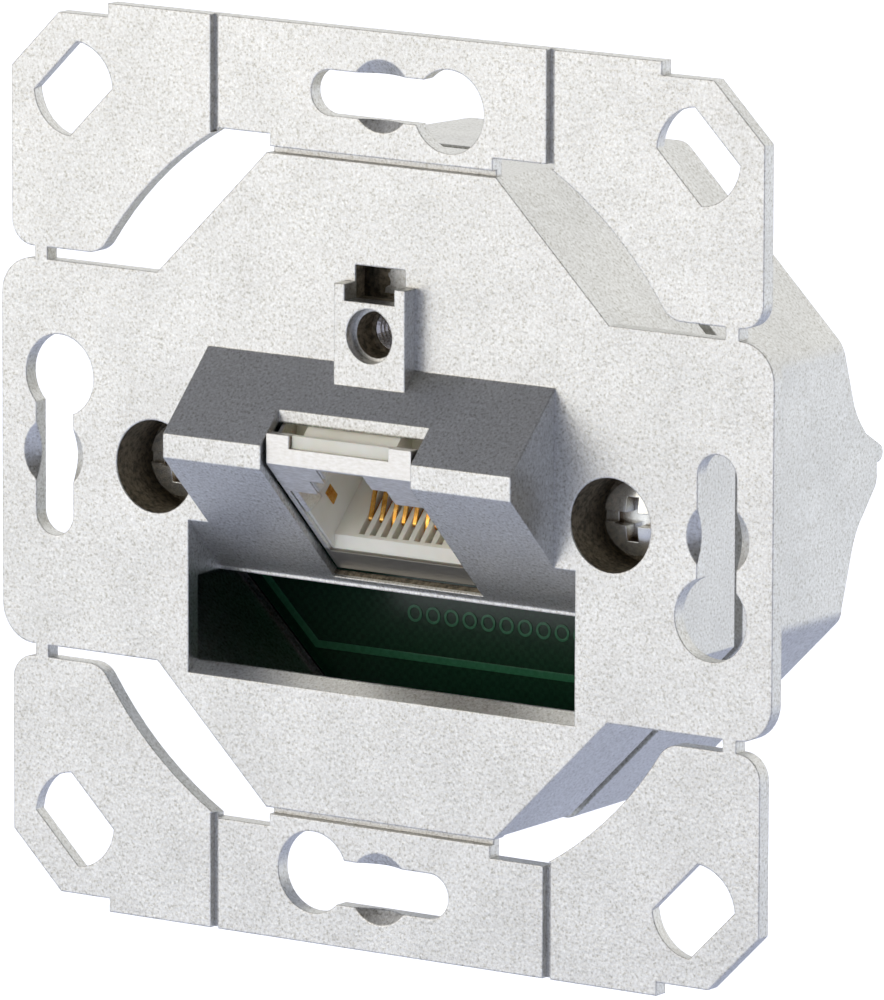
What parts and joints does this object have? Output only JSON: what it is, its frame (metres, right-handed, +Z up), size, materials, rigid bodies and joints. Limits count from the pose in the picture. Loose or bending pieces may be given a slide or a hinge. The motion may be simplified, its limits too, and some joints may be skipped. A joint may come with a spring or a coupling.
{
  "type": "ethernet wall socket",
  "caption": "Flush-mounted shielded data socket: die-cast plate with a slanted network jack in a raised nose, octagonal rear housing with cable outlets.",
  "frame": {"origin": "centre of the support plate's back face, which lies on the wall", "axes": "+X to the right seen from the front, +Y into the wall, +Z up; the front faces -Y"},
  "size_m": [0.071, 0.0418, 0.071],
  "materials": {
    "cast_zinc": "as-cast, matt, fine speckle",
    "screw_steel": "nickel plated",
    "board_laminate": "green solder mask",
    "jack_plastic": "moulded, ivory",
    "shield_metal": "tinned sheet",
    "contact_gold": "gold plated",
    "terminal_plastic": "moulded, white",
    "blade_bronze": "tinned bronze"
  },
  "bodies": {
    "root": {"support_plate": "cast_zinc", "rear_housing": "cast_zinc", "housing_screw_left": "screw_steel", "housing_screw_right": "screw_steel", "circuit_board": "board_laminate", "jack_body": "jack_plastic", "jack_shield": "shield_metal", "terminal_block_upper": "terminal_plastic", "terminal_block_lower": "terminal_plastic", "jack_contact_1": "contact_gold", "jack_contact_2": "contact_gold", "jack_contact_3": "contact_gold", "jack_contact_4": "contact_gold", "jack_contact_5": "contact_gold", "jack_contact_6": "contact_gold", "jack_contact_7": "contact_gold", "jack_contact_8": "contact_gold", "wire_blade_1": "blade_bronze", "wire_blade_2": "blade_bronze", "wire_blade_3": "blade_bronze", "wire_blade_4": "blade_bronze", "wire_blade_5": "blade_bronze", "wire_blade_6": "blade_bronze", "wire_blade_7": "blade_bronze", "wire_blade_8": "blade_bronze"}
  },
  "joints": []
}
